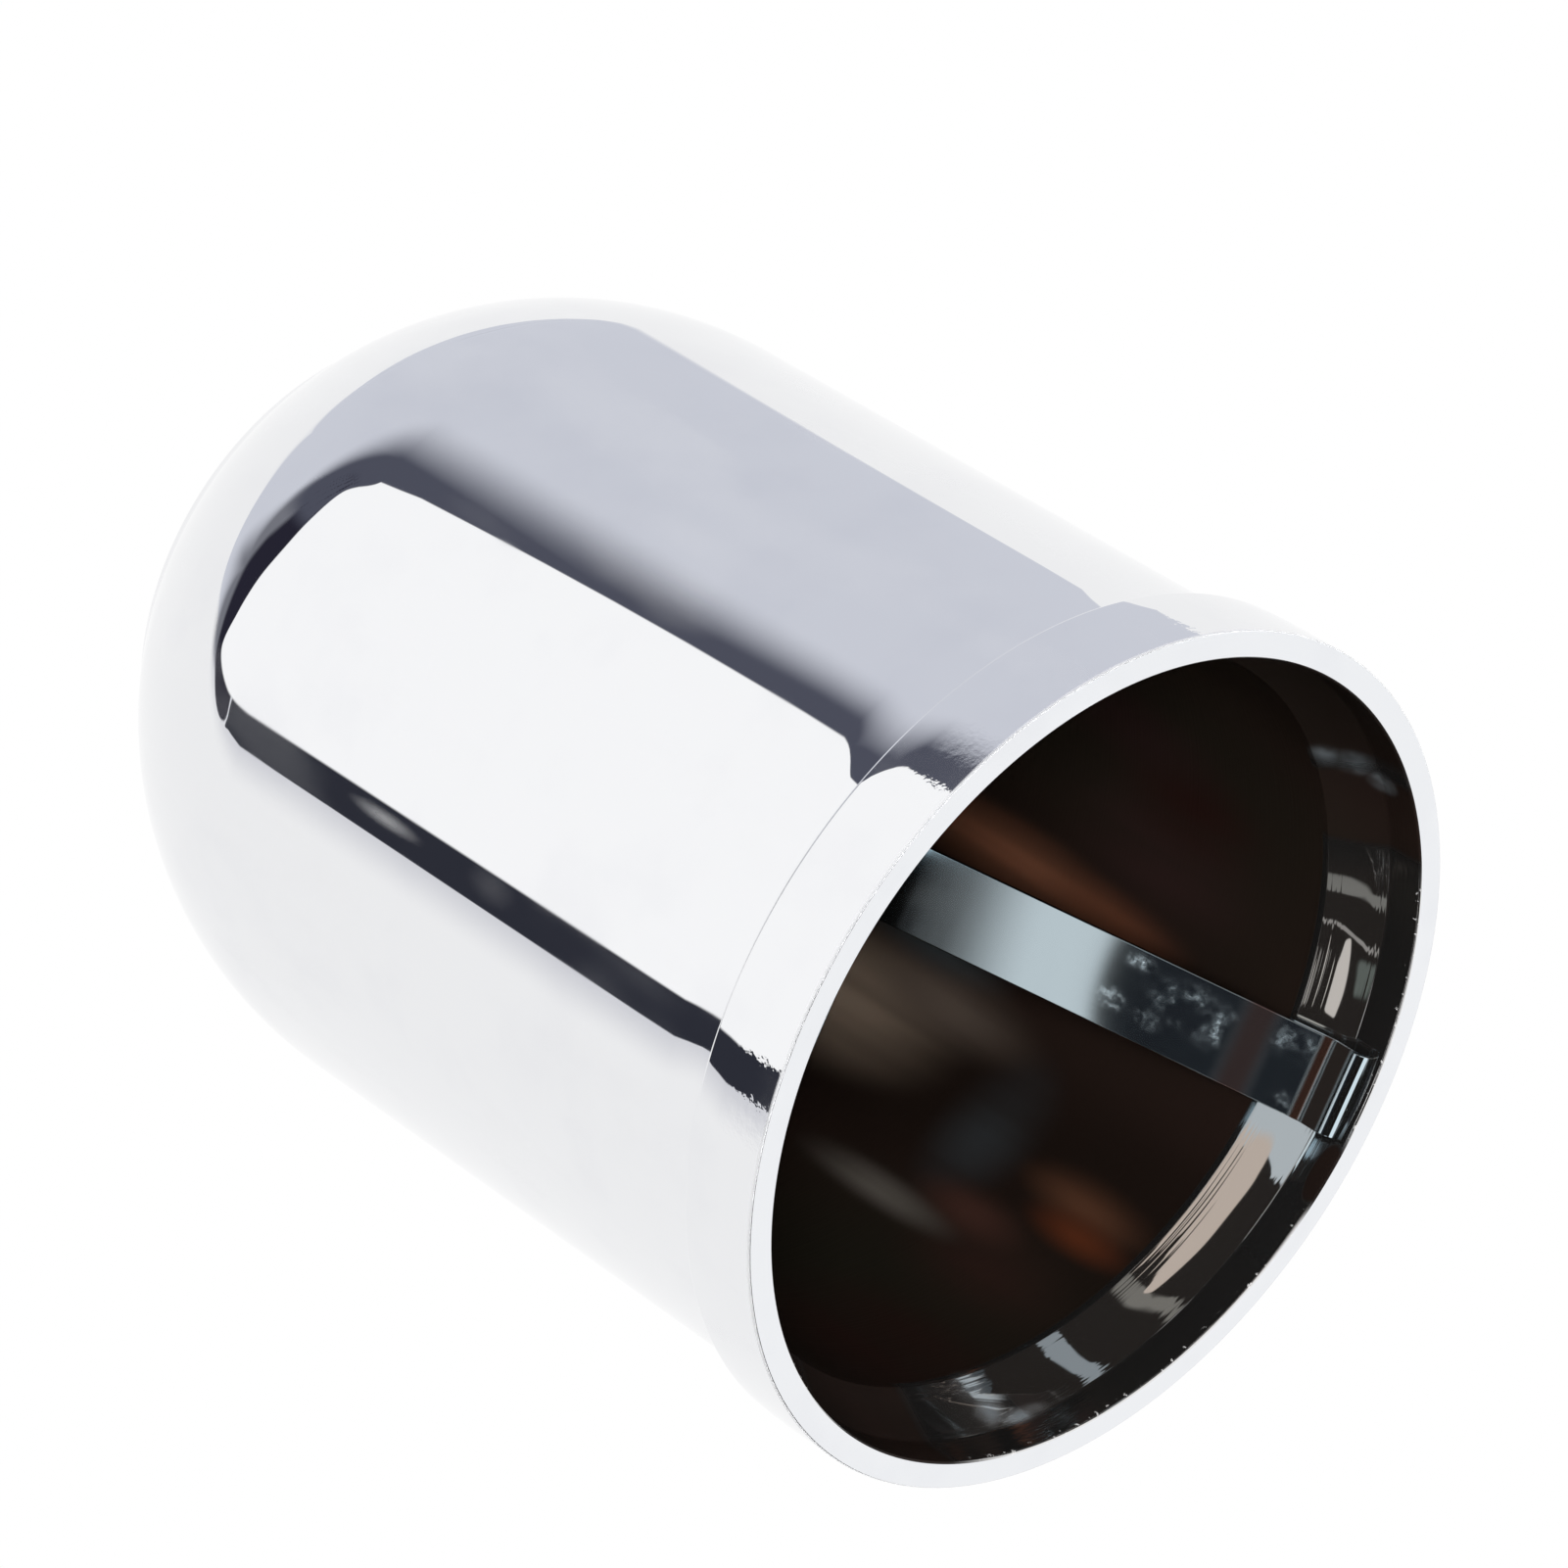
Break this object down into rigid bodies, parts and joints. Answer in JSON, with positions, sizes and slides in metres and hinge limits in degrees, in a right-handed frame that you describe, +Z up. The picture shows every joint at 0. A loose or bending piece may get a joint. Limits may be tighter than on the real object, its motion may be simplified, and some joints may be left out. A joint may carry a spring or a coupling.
{
  "type": "tow ball cover",
  "caption": "Domed chrome cover that slips over a tow ball, with a stepped rim band and a bent spring strip inside that grips the ball.",
  "frame": {"origin": "centre of the mouth, in the plane of the rim's end face", "axes": "+Z up the cup's axis to the dome, +X along one leg of the spring strip"},
  "size_m": [0.066, 0.066, 0.091],
  "materials": {
    "chrome_plate": "polished",
    "spring_steel": "bright rolled"
  },
  "bodies": {
    "root": {"cover_shell": "chrome_plate", "spring_clip": "spring_steel"}
  },
  "joints": []
}
